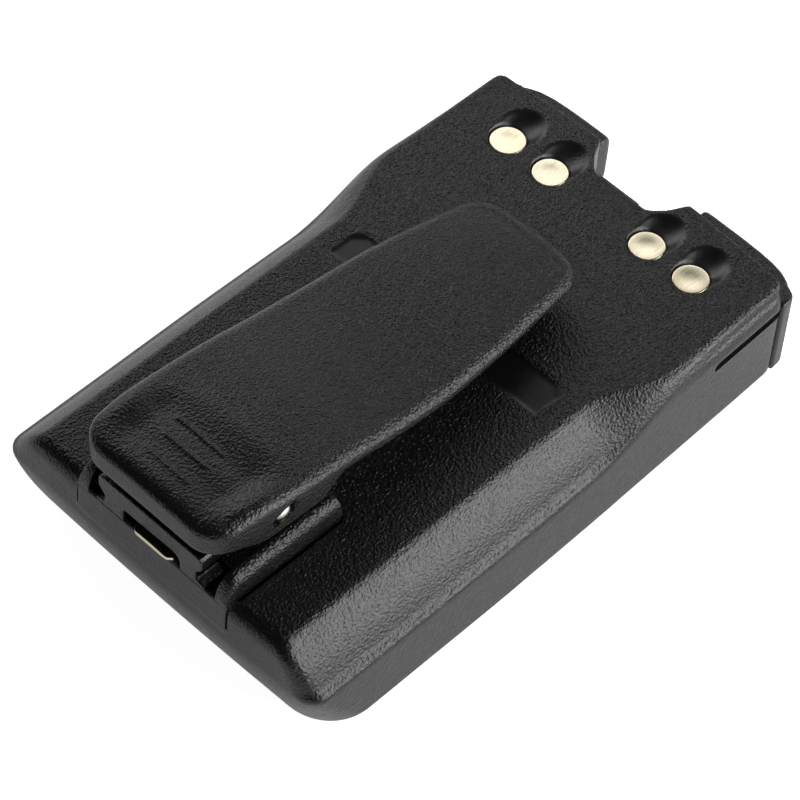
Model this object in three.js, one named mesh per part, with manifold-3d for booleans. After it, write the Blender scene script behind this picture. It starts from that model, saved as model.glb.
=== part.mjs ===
// Belt-clip battery pack of a portable two-way radio, in millimetres.
// X is the width, +Y points to the contact end, +Z points out of the clip side.
// The pack lies on its radio-facing side, so Z = 0 is the face that meets the radio.
import * as THREE from "three";
import { mergeGeometries, mergeVertices } from "three/addons/utils/BufferGeometryUtils.js";
import Module from "manifold-3d";

const wasm = await Module();
wasm.setup();

// ---------------------------------------------------------------- driving dimensions
const WALL = 1.8; // housing wall
const GAP = 0.3; // clearance between neighbouring pieces

const BODY = {
  halfWidth: 28.5,
  endTaper: 1.2, // how much narrower each side gets towards the contact end
  taperStart: -13.65,
  bottomEnd: -47.85,
  flatEnd: -45.45, // where the outer face rounds over into the bottom end
  earEnd: 44.65, // the contact end
  topLow: 18.4, // outer face height at the bottom end
  topHead: 17.4, // and at the contact end
  flatHalf: 22.0, // half width of the outer face along the grip
  headFlatHalf: 25.9, // and in the head
  creaseZ: 11.5, // height of the crease along each side
  headCreaseZ: 15.9,
};
const NOTCH = { bottom: 39.5, halfBottom: 4.6, halfTop: 8.4 };
const SLOT = { yLow: 28.3, yDeep: 40.4, yHigh: 43.6, zLow: 12.45, zHigh: 14.4, depth: 1.3, shallow: 0.7 };
// the two hooks of the cover that stand out past the contact end
const HOOK = { inner: 9.9, outer: 25.6, corner: 5, wallY: 46.5, reach: 49.15, low: 2.8, high: 13 };
const TONGUE = { zHigh: 11.7, zLow: 10.5, step: 0.4, bridgeZ: 5 };
const CONTACT = { xs: [-16.89, -8.93, 8.93, 16.89], y: 35.02, radius: 2.55, recess: 0.75, scoopLength: 6.3 };
const COVER = { thick: 2, wayHalf: 24.8 };
const RADIO_CONTACT = { xs: [-8, 0, 8], y: 33.1, halfWidth: 2.2, halfLength: 2.8 };
const BAND = { halfWidth: 19.2, yLow: 2.3, yHigh: 8.5, depth: 0.2 };

const RAIL = {
  inner: 11.5,
  outer: 13.5,
  topZ: 22.3,
  yLow: -47.95,
  rampTop: -44.8,
  yHigh: -27.6,
  insert: 1.1, // thickness of the insert in the housing
  endZ: 14.4, // how far the insert runs down the bottom end
  lipInner: 8.6,
  lipLow: 19.7,
  lipHigh: 20.45,
  floorZ: 18.4,
};
const BASE = {
  yLow: -48.15,
  yHigh: -28.85,
  footHalf: 9.8,
  waistHalf: 8.25,
  half: 9.1,
  footLow: 18.7,
  footHigh: 19.4,
  upperLow: 20.75,
  rimZ: 24.2,
  slotHalf: 4.9,
  slotTop: 21.6,
  floorTop: 22.6,
  wall: 1.6,
};
const PIN = { y: -37.6, z: 27.4, radius: 1, half: 12.3 };
const LEVER = {
  thumbEnd: -49.15,
  tip: 21.8,
  corner: 4.6,
  tipCorner: 4,
  edge: 1.1, // rounding of the outer edges
  flange: 1.6,
  flangeEnd: -27.2, // the deep side walls reach this far
  sheet: 1.7,
};
// [y, outer face height, half width] along the lever
const LEVER_LINE = [
  [-49.15, 31.3, 12.2],
  [-41.65, 31.6, 12.9],
  [-33.65, 30.5, 13.15],
  [-25.65, 29.4, 13.05],
  [-17.65, 27.8, 12.95],
  [-7.65, 26.3, 12.7],
  [2.35, 25.55, 12.0],
  [12.35, 24.65, 10.7],
  [21.8, 23.35, 9.3],
];
const DISH = { yLow: -47.4, yHigh: -33.6, depth: 0.9, inset: 2.6 };
const DISH_RIBS = { ys: [-44.65, -41.55, -38.5], half: 3.6, width: 0.55 };
const CELL = { length: 33.5, half: 24.6, low: 2.6, high: 11.2, starts: [-41.45, -5.35] };
const BOARD_Y = [29.4, 36.8];

// ---------------------------------------------------------------- materials
const material = (color, roughness, metalness = 0) =>
  new THREE.MeshStandardMaterial({ color, roughness, metalness });
const BLACK_PLASTIC = material(0x1b1b1c, 0.55);
const INNER_PLASTIC = material(0x2a2b2d, 0.6);
const GOLD = material(0xd9c48c, 0.22, 1);
const STEEL = material(0xb9bcc0, 0.3, 1);
const NICKEL = material(0xc4c6c4, 0.3, 1);
const ALUMINIUM = material(0xb4b7ba, 0.35, 1);
const FIBREGLASS = material(0x1e5c3a, 0.5);
const CARD = material(0xb9a98a, 0.85);
const LABEL = material(0xd7d8d6, 0.6);
const COMPONENT = material(0x17181a, 0.45);

// ---------------------------------------------------------------- small helpers
const clamp = (t) => Math.min(1, Math.max(0, t));
const smooth = (t) => clamp(t) * clamp(t) * (3 - 2 * clamp(t));
const mix = (a, b, t) => a + (b - a) * t;

// A smooth value along a list of rows [y, value, value, ...], picking one column.
function along(rows, y, column) {
  const last = rows.length - 1;
  let i = 0;
  while (i < last - 1 && y > rows[i + 1][0]) i += 1;
  const slope = (j) => {
    const a = rows[Math.max(0, j - 1)];
    const b = rows[Math.min(last, j + 1)];
    return (b[column] - a[column]) / (b[0] - a[0]);
  };
  const step = rows[i + 1][0] - rows[i][0];
  const t = clamp((y - rows[i][0]) / step);
  const [p, q] = [rows[i][column], rows[i + 1][column]];
  const [m, n] = [slope(i) * step, slope(i + 1) * step];
  return (
    p * (2 * t ** 3 - 3 * t ** 2 + 1) +
    m * (t ** 3 - 2 * t ** 2 + t) +
    q * (3 * t ** 2 - 2 * t ** 3) +
    n * (t ** 3 - t ** 2)
  );
}

// A closed solid for joining and cutting; a surface that came out inside out is turned round.
function solid(geometry) {
  const plain = geometry.index ? geometry.toNonIndexed() : geometry.clone();
  const bare = new THREE.BufferGeometry();
  bare.setAttribute("position", plain.getAttribute("position"));
  const merged = mergeVertices(bare, 1e-4);
  const vertProperties = merged.attributes.position.array;
  const triVerts = new Uint32Array(merged.index.array);
  const make = () => new wasm.Manifold(new wasm.Mesh({ numProp: 3, vertProperties, triVerts }));
  const made = make();
  if (made.volume() > 0) return made;
  for (let i = 0; i < triVerts.length; i += 3) {
    const second = triVerts[i + 1];
    triVerts[i + 1] = triVerts[i + 2];
    triVerts[i + 2] = second;
  }
  return make();
}

function geometryOf(body) {
  const m = body.getMesh();
  const positions = new Float32Array(m.numVert * 3);
  for (let i = 0; i < m.numVert; i += 1) {
    positions.set(m.vertProperties.subarray(i * m.numProp, i * m.numProp + 3), i * 3);
  }
  const geometry = new THREE.BufferGeometry();
  geometry.setAttribute("position", new THREE.BufferAttribute(positions, 3));
  geometry.setIndex(new THREE.BufferAttribute(new Uint32Array(m.triVerts), 1));
  return geometry;
}

const pack = new THREE.Group();
function piece(name, shape, finish) {
  const geometry = shape.isBufferGeometry ? shape : geometryOf(shape);
  if (!geometry.getAttribute("normal")) geometry.computeVertexNormals();
  const mesh = new THREE.Mesh(geometry, finish);
  mesh.name = name;
  pack.add(mesh);
}

// A box given by its lowest and highest corners.
function box([x0, y0, z0], [x1, y1, z1]) {
  const geometry = new THREE.BoxGeometry(x1 - x0, y1 - y0, z1 - z0);
  return geometry.translate((x0 + x1) / 2, (y0 + y1) / 2, (z0 + z1) / 2);
}
const boxSolid = (low, high) => solid(box(low, high));

// A disc or rod along Z.
function rodZ(x, y, radius, z0, z1, sides = 24) {
  const geometry = new THREE.CylinderGeometry(radius, radius, z1 - z0, sides);
  return geometry.rotateX(Math.PI / 2).translate(x, y, (z0 + z1) / 2);
}

// A rod along X.
function rodX(y, z, radius, x0, x1, sides = 20) {
  const geometry = new THREE.CylinderGeometry(radius, radius, x1 - x0, sides);
  return geometry.rotateZ(Math.PI / 2).translate((x0 + x1) / 2, y, z);
}

// An outline of [x, y] points in plan, pulled up from z0 to z1.
function prism(points, z0, z1) {
  const shape = new THREE.Shape(points.map(([x, y]) => new THREE.Vector2(x, y)));
  const geometry = new THREE.ExtrudeGeometry(shape, { depth: z1 - z0, bevelEnabled: false });
  return geometry.translate(0, 0, z0);
}

// An outline of [y, z] points in the side view, pulled along X from x0 to x1.
function sidePrism(points, x0, x1) {
  const shape = new THREE.Shape(points.map(([y, z]) => new THREE.Vector2(y, z)));
  const geometry = new THREE.ExtrudeGeometry(shape, { depth: x1 - x0, bevelEnabled: false });
  // the drawing's x, y and depth become Y, Z and X
  const turn = new THREE.Matrix4().set(0, 0, 1, x0, 1, 0, 0, 0, 0, 1, 0, 0, 0, 0, 0, 1);
  return geometry.applyMatrix4(turn);
}

// A skin through a stack of rings with the same number of points. The first and the last ring
// are closed by rungs that join the points on one side to those on the other.
function loft(rings) {
  const count = rings[0].length;
  const index = [];
  for (let r = 0; r + 1 < rings.length; r += 1) {
    for (let i = 0; i < count; i += 1) {
      const a = r * count + i;
      const b = r * count + ((i + 1) % count);
      index.push(a, b, b + count, a, b + count, a + count);
    }
  }
  for (const first of [0, (rings.length - 1) * count]) {
    const triangle = (a, b, c) => index.push(first + a, first + (first ? b : c), first + (first ? c : b));
    for (let i = 1; 2 * i <= count; i += 1) {
      const [right, left] = [i, count - i];
      const before = (left + 1) % count;
      if (right < left) triangle(right - 1, right, left);
      if (before !== right - 1) triangle(right - 1, right < left ? left : right, before);
    }
  }
  const geometry = new THREE.BufferGeometry();
  geometry.setAttribute("position", new THREE.Float32BufferAttribute(rings.flat(2), 3));
  geometry.setIndex(index);
  return geometry;
}

// ---------------------------------------------------------------- housing surface
const outerTop = (y) =>
  mix(BODY.topLow, BODY.topHead, clamp((y - BODY.bottomEnd) / (BODY.earEnd - BODY.bottomEnd)));
const bandHalf = (y) =>
  BODY.halfWidth - BODY.endTaper * clamp((y - BODY.taperStart) / 57) ** 1.3;
const flatHalf = (y) => mix(BODY.flatHalf, BODY.headFlatHalf, smooth((y - 7.3) / 14));
const creaseZ = (y) => mix(BODY.creaseZ, BODY.headCreaseZ, smooth((y - 4.3) / 18));
const waist = (y) => smooth((y - 4.3) / 18);

// Where the bottom end lies at a height: leaning in towards the radio side, rounded at the top.
function bottomAt(z) {
  const reach = BODY.flatEnd - BODY.bottomEnd;
  if (z < BODY.creaseZ) {
    return BODY.bottomEnd + 4.2 * ((BODY.creaseZ - z) / BODY.creaseZ) ** 1.5;
  }
  const up = clamp((z - 15.9) / 2.5);
  return BODY.flatEnd - reach * Math.sqrt(1 - up * up);
}

// How far the head's side walls lean in above the slots.
const headLean = (y, z) => 0.75 * smooth((y - 12) / 24) * smooth((z - 14.5) / 2.5);

// One level of the housing's side: a share of the way up the band, or up the sloping face.
const LEVELS = [
  { band: 0, inset: 0.6 },
  { band: 0.07, inset: 0 },
  { band: 0.3, inset: 0 },
  { band: 0.56, inset: 0 },
  { band: 0.84, inset: 0 },
  { band: 0.93, inset: 0 },
  { band: 1, inset: 0.35 },
  { slope: 0 },
  { slope: 0.3 },
  { slope: 0.6 },
  { slope: 0.85 },
  { slope: 1 },
];

function sidePoint(level, y) {
  const crease = creaseZ(y);
  if ("band" in level) {
    const fade = level.band === 1 ? 1 - waist(y) : 1;
    const z = level.band * (crease - 0.2);
    return { x: bandHalf(y) - level.inset * fade - headLean(y, z), z };
  }
  const start = bandHalf(y) - 0.9 * (1 - waist(y)) - 0.15 - headLean(y, 17);
  const bulge = 0.75 * Math.sin(Math.PI * level.slope) * (1 - 0.5 * waist(y));
  return {
    x: mix(start, flatHalf(y), level.slope) + bulge * 0.6,
    z: mix(crease + 0.2, outerTop(y), level.slope) + bulge * 0.25,
  };
}

const SIDE_YS = [-33, -20, -6, BAND.yLow, BAND.yHigh, 12, 16, 20, 26, 34];
const CORNER_TURNS = [0, 0.25, 0.5, 0.75, 1];

// One ring of the housing at a level, shrunk by inset all round.
function housingRing(level, inset) {
  const share = "band" in level ? 0 : level.slope;
  const low = sidePoint(level, -40).z;
  const high = sidePoint(level, 38).z;
  const bottom = bottomAt(low) + inset;
  const top = BODY.earEnd - 0.3 * (1 - share) - inset;
  const lowCorner = mix(mix(7.5, 3, clamp(low / BODY.creaseZ)), 1.6, share);
  const topCorner = mix(1.8, 1.1, share);
  const half = [];
  const put = (x, y, z) => half.push([x, y, z]);
  const lowArch = (x) => 0.0006 * x * x;
  const topArch = (x) => 0.002 * x * x;
  for (const x of [0, 9]) put(x, bottom + lowArch(x), low);
  for (const turn of CORNER_TURNS) {
    const angle = (turn * Math.PI) / 2;
    const y = bottom + lowCorner * (1 - Math.cos(angle));
    const x = sidePoint(level, y).x - inset - lowCorner * (1 - Math.sin(angle));
    put(x, y + lowArch(x) * (1 - turn), low);
  }
  for (const y of SIDE_YS) {
    const { x, z } = sidePoint(level, y);
    put(x - inset, y, z);
  }
  for (const turn of [...CORNER_TURNS].reverse()) {
    const angle = (turn * Math.PI) / 2;
    const y = top - topCorner * (1 - Math.cos(angle));
    const x = sidePoint(level, y).x - inset - topCorner * (1 - Math.sin(angle));
    put(x, y - topArch(x), high);
  }
  for (const x of [17, 12.5, 9, 0]) put(x, top - topArch(x), high);
  const other = half.slice(1, -1).reverse().map(([x, y, z]) => [-x, y, z]);
  return [...half, ...other];
}

// The housing's outer skin, or with an inset its hollow, which is open at the radio side.
function housingSkin(inset) {
  const rings = LEVELS.map((level) => housingRing(level, inset));
  if (inset > 0) {
    rings.forEach((ring, i) => {
      const drop = i < 2 ? 0 : inset * (i / (rings.length - 1));
      ring.forEach((p) => {
        p[2] -= drop;
      });
    });
    rings[0] = rings[1].map(([x, y]) => [x, y, -1]);
  }
  return loft(rings);
}

// The latch notch in the contact end, grown by a margin: above 0 for the walls round it,
// below 0 for the tongue that fills it.
function notch(margin, end, z0, z1) {
  const right = [
    [NOTCH.halfBottom + margin, NOTCH.bottom - margin],
    [NOTCH.halfBottom + 0.8 + margin, NOTCH.bottom + 0.6],
    [NOTCH.halfBottom + 2.3 + margin, NOTCH.bottom + 2.4],
    [NOTCH.halfTop - 0.6 + margin, BODY.earEnd - 0.9],
  ];
  if (end > BODY.earEnd) {
    right.push([NOTCH.halfTop + margin, BODY.earEnd], [NOTCH.halfTop + margin, end]);
  }
  const left = right.map(([x, y]) => [-x, y]).reverse();
  return solid(prism([...right, ...left], z0, z1));
}

// The worn-smooth scoop that guides a charger pin down to a contact.
function scoop(x) {
  const floor = outerTop(CONTACT.y) - CONTACT.recess;
  const profile = [
    [CONTACT.y, floor],
    [CONTACT.y + 2.2, floor + 0.05],
    [CONTACT.y + CONTACT.scoopLength, outerTop(CONTACT.y) + 0.1],
    [CONTACT.y, 20],
  ];
  const trough = solid(sidePrism(profile, x - 3, x + 3));
  const round = solid(rodZ(x, CONTACT.y + 3.4, 3, floor - 1, 20, 24));
  const well = solid(rodZ(x, CONTACT.y, CONTACT.radius + 0.3, floor - CONTACT.recess, 20, 24));
  const straight = boxSolid([x - 3, CONTACT.y, floor - 1], [x + 3, CONTACT.y + 3.4, 20]);
  return trough.intersect(round.add(straight)).add(well);
}

function backShell() {
  let shell = solid(housingSkin(0));
  const hollow = solid(housingSkin(WALL)).subtract(notch(WALL, 50, -2, 25));
  shell = shell.subtract(notch(0, 50, -1, 25)).subtract(hollow);
  // the way for the cover through the foot of the end wall
  shell = shell.subtract(boxSolid([-COVER.wayHalf, 37, -1], [COVER.wayHalf, 60, COVER.thick + GAP]));
  for (const x of CONTACT.xs) {
    const top = outerTop(CONTACT.y);
    shell = shell.subtract(scoop(x)).subtract(solid(rodZ(x, CONTACT.y, 1.3, top - 4, top, 16)));
  }
  // the slot in each side of the head
  for (const side of [-1, 1]) {
    const at = bandHalf(35);
    for (const [end, depth] of [[SLOT.yDeep, SLOT.depth], [SLOT.yHigh, SLOT.shallow]]) {
      const profile = [
        [SLOT.yLow + 0.3, SLOT.zLow],
        [end, SLOT.zLow],
        [end, SLOT.zHigh],
        [SLOT.yLow + 1.6, SLOT.zHigh],
        [SLOT.yLow, SLOT.zLow + 0.5],
      ];
      const cut = sidePrism(profile, at - depth, at + 2);
      if (side < 0) cut.scale(-1, 1, 1);
      shell = shell.subtract(solid(cut));
    }
  }
  // the smooth shallow band across the back under the clip
  const b = BAND;
  const bandOutline = [
    [b.halfWidth, b.yLow],
    [b.halfWidth, b.yHigh - 1.8],
    [b.halfWidth - 2, b.yHigh],
    [2 - b.halfWidth, b.yHigh],
    [-b.halfWidth, b.yHigh - 1.8],
    [-b.halfWidth, b.yLow],
  ];
  shell = shell.subtract(solid(prism(bandOutline, outerTop(5.4) - b.depth, 25)));
  // the seat of the rail insert, across the outer face and down the bottom end
  const r = RAIL;
  const seatTop = boxSolid(
    [-r.outer - GAP, -60, r.floorZ - r.insert - GAP],
    [r.outer + GAP, r.yHigh + GAP, 30],
  );
  const seatEnd = boxSolid(
    [-r.outer - GAP, -60, r.endZ - GAP],
    [r.outer + GAP, BODY.bottomEnd + r.insert + GAP, 30],
  );
  return shell.subtract(seatTop).subtract(seatEnd);
}

// ---------------------------------------------------------------- radio-facing cover
// A level of one hook: how far it reaches, and its height.
function hookRing(reach, z) {
  const h = HOOK;
  const foot = BODY.earEnd + GAP;
  const corner = Math.min(h.corner, reach - foot);
  const ring = [
    [h.inner, foot, z],
    [h.inner, reach, z],
    [16, reach, z],
  ];
  for (const turn of [1, 0.75, 0.5, 0.25, 0]) {
    const angle = (turn * Math.PI) / 2;
    const x = h.outer - h.corner * (1 - Math.cos(angle));
    ring.push([x, reach - corner * (1 - Math.sin(angle)), z]);
  }
  return ring;
}

function frontShell() {
  const t = COVER.thick;
  const rings = [0, t].map((z) => housingRing(LEVELS[1], WALL + GAP).map(([x, y]) => [x, y, z]));
  const foot = BODY.earEnd + GAP;
  const half = HOOK.outer - HOOK.corner;
  let cover = solid(loft(rings));
  const through = COVER.wayHalf - GAP;
  cover = cover.add(boxSolid([-through, 40, 0], [through, HOOK.wallY - 0.4, t]));
  cover = cover.add(boxSolid([-half, foot, 0], [half, HOOK.wallY, TONGUE.bridgeZ]));
  // the hooks
  const levels = [
    [HOOK.wallY - 0.5, 0],
    [HOOK.wallY, 0.5],
    [HOOK.wallY, HOOK.low],
    [HOOK.reach - 0.2, HOOK.low + 2],
    [HOOK.reach, HOOK.high - 2.2],
    [HOOK.reach - 0.25, HOOK.high - 1],
    [HOOK.reach - 0.8, HOOK.high],
  ];
  const hook = loft(levels.map(([reach, z]) => hookRing(reach, z)));
  const mirrored = hook.clone().scale(-1, 1, 1);
  cover = cover.add(solid(hook)).add(solid(mirrored));
  // the tongue that fills the lower part of the latch notch, lower on one side
  let tongue = notch(-0.4, 43, 0, TONGUE.zHigh);
  tongue = tongue.subtract(boxSolid([TONGUE.step, 30, TONGUE.zLow], [20, 60, 30]));
  cover = cover.add(tongue).add(boxSolid([-6.4, 42, 0], [6.4, foot + 0.2, TONGUE.bridgeZ]));
  // windows of the radio contacts
  for (const x of RADIO_CONTACT.xs) {
    const w = RADIO_CONTACT.halfWidth + GAP;
    const l = RADIO_CONTACT.halfLength + GAP;
    const y = RADIO_CONTACT.y;
    cover = cover.subtract(boxSolid([x - w, y - l, -1], [x + w, y + l, 3]));
  }
  // pockets that the radio's hooks engage, two on each side
  for (const side of [-1, 1]) {
    for (const y of [-28, 14]) {
      const pocket = box([side * 22.2 - 1.6, y - 5, -1], [side * 22.2 + 1.6, y + 5, 1.1]);
      cover = cover.subtract(solid(pocket));
    }
  }
  // shallow seat of the rating label
  return cover.subtract(boxSolid([-16, -34, -1], [16, 12, 0.35]));
}

// ---------------------------------------------------------------- clip rails
function railBracket() {
  const r = RAIL;
  const end = r.yLow;
  const plate = boxSolid([-r.outer, end, r.floorZ - r.insert], [r.outer, r.yHigh, r.floorZ]);
  const wrap = boxSolid([-r.outer, end, r.endZ], [r.outer, end + r.insert, r.floorZ]);
  const stop = boxSolid([-r.outer, BASE.yHigh + GAP, r.floorZ - 0.2], [r.outer, r.yHigh, 20.2]);
  let bracket = plate.add(wrap).add(stop);
  const rail = [
    [end, r.floorZ - 0.2],
    [r.yHigh, r.floorZ - 0.2],
    [r.yHigh, r.topZ - 0.5],
    [r.yHigh - 0.7, r.topZ],
    [r.rampTop, r.topZ],
    [end, 19.3],
  ];
  const lip = [
    [-44, r.lipLow],
    [r.yHigh, r.lipLow],
    [r.yHigh, r.lipHigh],
    [-44, r.lipHigh],
  ];
  for (const side of [-1, 1]) {
    const parts = [sidePrism(rail, r.inner, r.outer), sidePrism(lip, r.lipInner, r.inner + 0.2)];
    for (const part of parts) {
      if (side < 0) part.scale(-1, 1, 1);
      bracket = bracket.add(solid(part));
    }
  }
  return bracket;
}

// ---------------------------------------------------------------- clip base
function clipBase() {
  const b = BASE;
  const foot = boxSolid([-b.footHalf, b.yLow, b.footLow], [b.footHalf, b.yHigh, b.footHigh]);
  const waistBlock = boxSolid([-b.waistHalf, b.yLow, b.footLow], [b.waistHalf, b.yHigh, b.upperLow + 0.1]);
  const upper = boxSolid([-b.half, b.yLow, b.upperLow], [b.half, b.yHigh, b.rimZ]);
  const tray = boxSolid(
    [b.wall - b.half, b.yLow + b.wall, b.floorTop],
    [b.half - b.wall, b.yHigh + 5, b.rimZ + 5],
  );
  let base = foot.add(waistBlock).add(upper).subtract(tray);
  base = base.subtract(boxSolid([-b.slotHalf, b.yLow - 1, 10], [b.slotHalf, -33.6, b.slotTop]));
  // ears that hold the pivot pin
  const ear = [
    [PIN.y - 3.2, b.rimZ - 0.5],
    [PIN.y + 3.2, b.rimZ - 0.5],
    [PIN.y + 1.4, PIN.z],
    [PIN.y + 0.9, PIN.z + 1.1],
    [PIN.y, PIN.z + 1.45],
    [PIN.y - 0.9, PIN.z + 1.1],
    [PIN.y - 1.4, PIN.z],
  ];
  for (const x of [-b.half, b.half - b.wall]) {
    base = base.add(solid(sidePrism(ear, x, x + b.wall)));
  }
  return base.subtract(solid(rodX(PIN.y, PIN.z, PIN.radius + 0.06, -20, 20)));
}

// ---------------------------------------------------------------- clip lever
function dishDepth(x, y, half) {
  const across = smooth((half - DISH.inset - Math.abs(x)) / 2.2 + 0.5);
  const middle = (DISH.yLow + DISH.yHigh) / 2;
  const reach = (DISH.yHigh - DISH.yLow) / 2;
  return DISH.depth * across * smooth(1.6 * (1 - Math.abs(y - middle) / reach));
}

// The lever's underside: deep side walls round the pivot, a thin sheet beyond.
function leverUnderside(y) {
  const sheet = along(LEVER_LINE, y, 1) - 2.3 + 0.4 * smooth((y + 10) / 12);
  const walls = 24.6 + 2.4 * smooth((-39.5 - y) / 7);
  return mix(walls, sheet, smooth((y + 31) / 4.5));
}

function leverSection(y) {
  const line = along(LEVER_LINE, y, 2);
  const toThumb = clamp(1 - (y - LEVER.thumbEnd) / LEVER.corner);
  const toTip = clamp(1 - (LEVER.tip - y) / LEVER.tipCorner);
  const [turn, r] = toTip > 0 ? [toTip, LEVER.tipCorner] : [toThumb, LEVER.corner];
  const half = line - r * (1 - Math.sqrt(1 - turn * turn));
  const top = along(LEVER_LINE, y, 1) - 0.5 * toTip ** 2 - 0.35 * toThumb ** 3;
  const low = leverUnderside(y);
  const edge = Math.min(LEVER.edge, (top - low) / 2);
  const points = [];
  points.push([half - 0.25, y, low]);
  points.push([half, y, low + 0.4]);
  for (const angle of [0, 30, 60]) {
    const a = (angle * Math.PI) / 180;
    points.push([half - edge * (1 - Math.cos(a)), y, top - edge * (1 - Math.sin(a))]);
  }
  for (const share of [1, 0.8, 0.6, 0.3]) {
    const x = (half - edge) * share;
    points.push([x, y, top + 0.35 * (1 - share * share) - dishDepth(x, y, half)]);
  }
  const left = points.map(([x, yy, z]) => [-x, yy, z]).reverse();
  return [...points, ...left];
}

function clipLever() {
  const ys = [];
  for (const t of [0.04, 0.3, 0.6, 1]) ys.push(LEVER.thumbEnd + LEVER.corner * (1 - Math.cos((t * Math.PI) / 2)));
  ys.push(-42, -39, -36, -34, -31, -28.5, -26.5, -22, -14, -6, 2, 9);
  for (const t of [1, 0.6, 0.3, 0.04]) ys.push(LEVER.tip - LEVER.tipCorner * (1 - Math.cos((t * Math.PI) / 2)));
  ys.sort((a, b) => a - b);
  let lever = solid(loft(ys.map((y) => leverSection(y))));
  // the hollow between the side walls, round the pivot
  const hollowYs = [LEVER.thumbEnd + LEVER.flange, -41, -33.65, -29.5, LEVER.flangeEnd];
  const hollow = hollowYs.map((y) => {
    const half = along(LEVER_LINE, y, 2) - LEVER.flange;
    const short = y < -47 ? 2.2 : 0;
    const roof = Math.min(29.1, along(LEVER_LINE, y, 1) - LEVER.sheet);
    return [
      [half - short, y, 20],
      [half - short, y, roof],
      [short - half, y, roof],
      [short - half, y, 20],
    ];
  });
  lever = lever.subtract(solid(loft(hollow)));
  // grip ribs in the thumb dish
  for (const y of DISH_RIBS.ys) {
    const w = DISH_RIBS.width;
    lever = lever.add(boxSolid([-DISH_RIBS.half, y - w / 2, 30], [DISH_RIBS.half, y + w / 2, 31.3]));
  }
  // the tooth under the tip that keeps a belt in
  const tooth = [
    [15.6, 23],
    [18.6, 23],
    [18.2, 19.2],
    [17.5, 18.8],
    [16.9, 19.2],
  ];
  lever = lever.add(solid(sidePrism(tooth, -7.8, 7.8)));
  // the pin's holes, wider on the outside
  lever = lever.subtract(solid(rodX(PIN.y, PIN.z, PIN.radius + 0.06, -20, 20)));
  for (const y of [PIN.y - 0.9, PIN.y + 1.3]) {
    const z = PIN.z + 0.4 * (y - PIN.y + 0.9);
    for (const x of [-14, PIN.half - 0.1]) {
      lever = lever.subtract(solid(rodX(y, z, 1.05, x, x + 14.1 - PIN.half)));
    }
  }
  return lever;
}

// ---------------------------------------------------------------- torsion spring and latch leaf
// Two legs and a coil round the pivot pin, drawn as one wire.
function torsionSpring() {
  const mean = PIN.radius + 0.3;
  const turns = 4.5;
  const perTurn = 10;
  const pitch = 0.75;
  const points = [];
  const start = (-turns * pitch) / 2;
  points.push(new THREE.Vector3(start, PIN.y - 7.5, PIN.z - 0.1));
  points.push(new THREE.Vector3(start, PIN.y - 3.5, PIN.z + mean - 0.35));
  for (let i = 0; i <= turns * perTurn; i += 1) {
    const angle = Math.PI / 2 - (i / perTurn) * 2 * Math.PI;
    const x = start + (pitch * i) / perTurn;
    points.push(new THREE.Vector3(x, PIN.y + mean * Math.cos(angle), PIN.z + mean * Math.sin(angle)));
  }
  points.push(new THREE.Vector3(-start, PIN.y - 3, PIN.z - 2.6));
  points.push(new THREE.Vector3(-start, PIN.y - 6, BASE.floorTop + 0.6));
  const path = new THREE.CatmullRomCurve3(points, false, "centripetal");
  const section = new THREE.Shape();
  section.absarc(0, 0, 0.22, 0, 2 * Math.PI);
  return new THREE.ExtrudeGeometry(section, {
    steps: 90,
    curveSegments: 3,
    bevelEnabled: false,
    extrudePath: path,
  });
}

function latchLeaf() {
  const low = BASE.footLow + 0.15;
  const profile = [
    [BASE.yLow + 0.15, low + 0.15],
    [BASE.yLow + 1.2, low],
    [-34.3, low],
    [-34.3, low + 0.4],
    [BASE.yLow + 1.2, low + 0.4],
    [BASE.yLow + 0.15, low + 0.55],
  ];
  return sidePrism(profile, -4.1, 4.1);
}

// ---------------------------------------------------------------- inside
function cell(start) {
  const c = CELL;
  const shape = new THREE.Shape();
  const r = 3;
  const [w, h] = [c.length / 2, (c.high - c.low) / 2];
  shape.absarc(w - r, h - r, r, 0, Math.PI / 2);
  shape.absarc(r - w, h - r, r, Math.PI / 2, Math.PI);
  shape.absarc(r - w, r - h, r, Math.PI, 1.5 * Math.PI);
  shape.absarc(w - r, r - h, r, 1.5 * Math.PI, 2 * Math.PI);
  const can = new THREE.ExtrudeGeometry(shape, {
    depth: 2 * c.half - 1,
    curveSegments: 4,
    bevelSize: 0.5,
    bevelThickness: 0.5,
    bevelOffset: -0.5,
    bevelSegments: 1,
  });
  can.rotateX(Math.PI / 2).rotateZ(Math.PI / 2);
  return can.translate(0.5 - c.half, start + w, (c.low + c.high) / 2);
}

function cellTray() {
  const [first, second] = CELL.starts;
  const low = CELL.high + GAP;
  const floor = boxSolid([-22.6, first, low], [22.6, second + CELL.length, low + 0.8]);
  const middle = (first + CELL.length + second) / 2;
  return floor.add(boxSolid([-22.6, middle - 0.7, 3], [22.6, middle + 0.7, low + 0.1]));
}

// A flat strip along a side of the cells, with a tab folded in over the board if it reaches it.
function cellStrip(side, y0, y1, tab) {
  const x = CELL.half + GAP;
  let strip = boxSolid([x, y0, 5.6], [x + 0.3, y1, 9.4]);
  if (tab) strip = strip.add(boxSolid([20.8, y1 - 2.3, 6.5], [x + 0.1, y1 - 0.3, 6.8]));
  const geometry = geometryOf(strip);
  if (side < 0) geometry.scale(-1, 1, 1);
  return solid(geometry);
}

function header() {
  let made = boxSolid([11.5, 32.6, 6.5], [21.5, 35.2, 9.2]);
  for (const x of [12.8, 15.3, 17.8, 20.2]) {
    made = made.add(boxSolid([x - 0.35, 33.5, 9], [x + 0.35, 34.2, 13.2]));
  }
  return made;
}

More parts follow.
